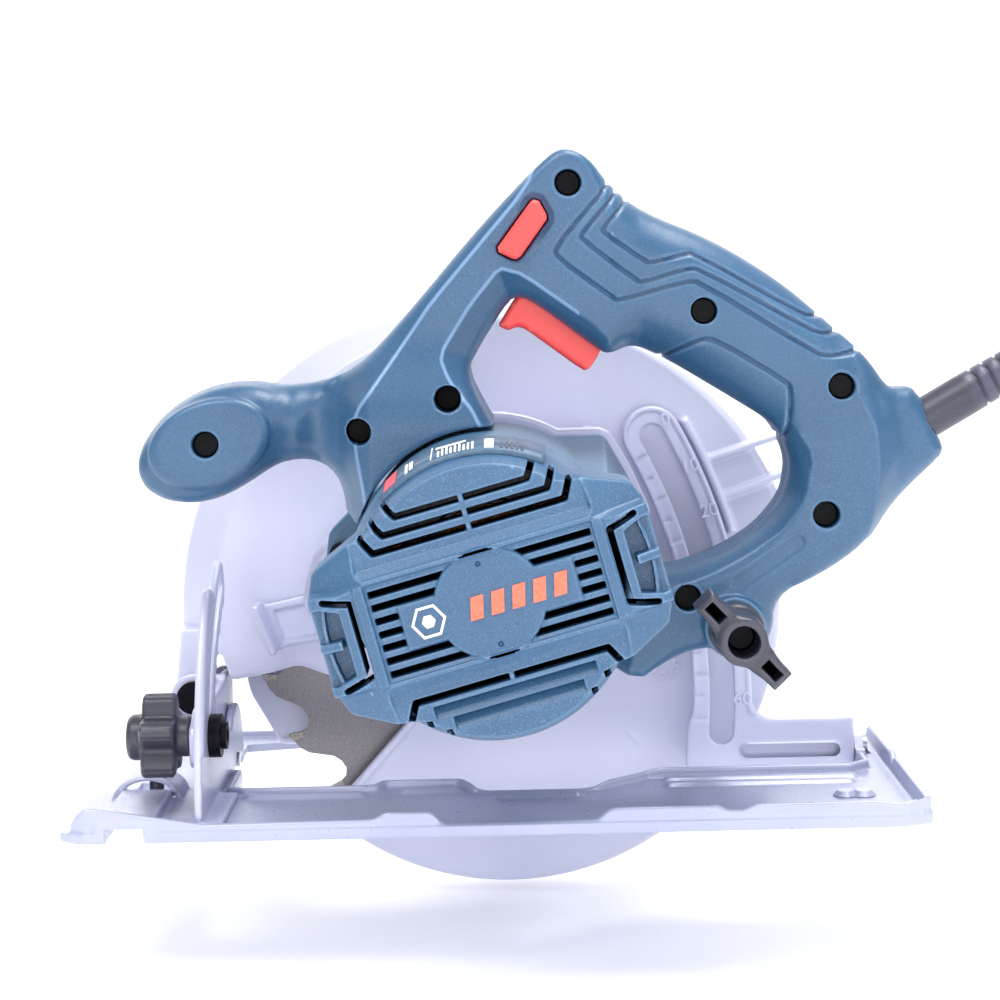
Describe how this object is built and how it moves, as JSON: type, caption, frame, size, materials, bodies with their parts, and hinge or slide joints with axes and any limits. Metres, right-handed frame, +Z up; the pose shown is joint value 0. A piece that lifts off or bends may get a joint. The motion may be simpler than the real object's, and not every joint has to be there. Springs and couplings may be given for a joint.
{
  "type": "circular saw",
  "caption": "Corded hand-held circular saw with pivoting depth setting, tilting bevel base, retracting lower guard, clamshell handle and universal motor driving the blade by a gear pair.",
  "frame": {"origin": "on the base's underside plane, straight below the spindle axis at the depth setting modelled, in the blade's mid-plane", "axes": "+X to the rear where the cord leaves (the saw cuts towards -X), +Y to the blade side away from the motor, +Z up from the work"},
  "size_m": [0.34, 0.2266, 0.2568],
  "materials": {
    "painted_aluminium": "silver-lavender painted pressings and castings, fine satin grain",
    "bare_steel": "machined steel",
    "blade_steel": "ground blade steel, warm grey",
    "carbide": "sintered carbide tips",
    "blue_plastic": "glass-filled nylon, fine spark-eroded grain",
    "blue_cap_plastic": "lighter speckled moulded plastic",
    "black_plastic": "brown-black moulded plastic",
    "red_plastic": "warm red moulded plastic",
    "cord_rubber": "dark purple-grey rubber",
    "copper": "enamelled copper wire and commutator bars",
    "brass": "brass strip",
    "lamination": "stacked electrical steel",
    "carbon": "pressed carbon",
    "label_film": "printed film, left blank"
  },
  "bodies": {
    "base": {"base_plate": "painted_aluminium", "bevel_quadrant": "painted_aluminium", "rear_pivot_lug": "painted_aluminium", "base_rivets": "bare_steel", "front_tilt_pin": "bare_steel", "rear_tilt_pin": "bare_steel"},
    "tilt_frame": {"hinge_bracket": "painted_aluminium", "depth_bracket": "painted_aluminium", "depth_pivot_pin": "bare_steel", "bevel_lock_bolt": "bare_steel"},
    "saw_body": {"upper_guard": "painted_aluminium", "gear_case": "painted_aluminium", "case_screws": "bare_steel", "guard_retainer": "bare_steel", "guard_return_spring": "bare_steel", "bearing_races": "bare_steel", "motor_housing": "blue_plastic", "housing_screws": "bare_steel", "stator_core": "lamination", "stator_windings": "copper", "air_baffle": "black_plastic", "brush_holders": "brass", "carbon_brushes": "carbon", "brush_springs": "bare_steel", "motor_cap": "blue_cap_plastic", "cap_screws": "bare_steel", "rating_label": "label_film", "badge_inlay": "red_plastic", "handle_shell_near": "blue_plastic", "handle_shell_far": "blue_plastic", "handle_screws": "bare_steel", "switch_module": "black_plastic", "cord_clamp": "black_plastic", "cord_guard": "cord_rubber", "power_cord": "cord_rubber", "depth_clamp_bolt": "bare_steel", "depth_clamp_washer": "bare_steel", "trigger_spring": "bare_steel"},
    "guide_screw": {"guide_lock_screw": "black_plastic"},
    "bevel_knob": {"bevel_lock_knob": "black_plastic"},
    "depth_lever": {"depth_lock_lever": "black_plastic"},
    "trigger_body": {"trigger": "red_plastic"},
    "lock_button": {"lock_off_button": "red_plastic"},
    "lower_guard_body": {"lower_guard": "painted_aluminium"},
    "guard_lever_body": {"guard_lever": "painted_aluminium"},
    "spindle": {"spindle_shaft": "bare_steel", "output_gear": "bare_steel", "inner_flange": "bare_steel", "saw_blade": "blade_steel", "carbide_teeth": "carbide", "outer_flange": "bare_steel", "blade_bolt": "bare_steel", "spindle_bearing_balls": "bare_steel"},
    "armature": {"armature_shaft": "bare_steel", "armature_core": "lamination", "commutator": "copper", "armature_windings": "copper", "cooling_fan": "black_plastic", "armature_bearing_balls": "bare_steel"}
  },
  "joints": [
    {"name": "bevel_tilt", "type": "hinge", "parent": "base", "child": "tilt_frame", "pos_m": [0, -0.012, 0.005], "axis": [-1, 0, 0], "range_deg": [0, 45]},
    {"name": "depth_pivot", "type": "hinge", "parent": "tilt_frame", "child": "saw_body", "pos_m": [-0.1115, 0, 0.0285], "axis": [0, -1, 0], "range_deg": [-14, 17.5]},
    {"name": "lower_guard_swing", "type": "hinge", "parent": "saw_body", "child": "lower_guard_body", "pos_m": [0, 0, 0.057], "axis": [0, -1, 0], "range_deg": [-32, 130]},
    {"name": "guard_lever_swing", "type": "hinge", "parent": "saw_body", "child": "guard_lever_body", "pos_m": [0, 0, 0.057], "axis": [0, -1, 0], "range_deg": [0, 30]},
    {"name": "blade_spin", "type": "hinge", "parent": "saw_body", "child": "spindle", "pos_m": [0, 0, 0.057], "axis": [0, -1, 0], "continuous": true},
    {"name": "armature_spin", "type": "hinge", "parent": "saw_body", "child": "armature", "pos_m": [-0.00364, 0, 0.08426], "axis": [0, -1, 0], "continuous": true},
    {"name": "trigger_press", "type": "slide", "parent": "saw_body", "child": "trigger_body", "axis": [0.5736, 0, 0.8192], "range_m": [0, 0.005]},
    {"name": "lock_off_press", "type": "slide", "parent": "saw_body", "child": "lock_button", "axis": [0, 1, 0], "range_m": [-0.002, 0.002]},
    {"name": "depth_lever_turn", "type": "hinge", "parent": "saw_body", "child": "depth_lever", "pos_m": [0.07219, -0.126, 0.06354], "axis": [0, -1, 0], "range_deg": [0, 60]},
    {"name": "bevel_knob_turn", "type": "hinge", "parent": "tilt_frame", "child": "bevel_knob", "pos_m": [-0.11, -0.08402, 0.02798], "axis": [1, 0, 0], "range_deg": [0, 180]},
    {"name": "guide_screw_turn", "type": "hinge", "parent": "base", "child": "guide_screw", "pos_m": [-0.119, -0.056, 0.012], "axis": [0, 0, 1], "range_deg": [0, 90]}
  ],
  "couplings": [
    {"joint": "armature_spin", "follows": "blade_spin", "ratio": -4.5556}
  ]
}
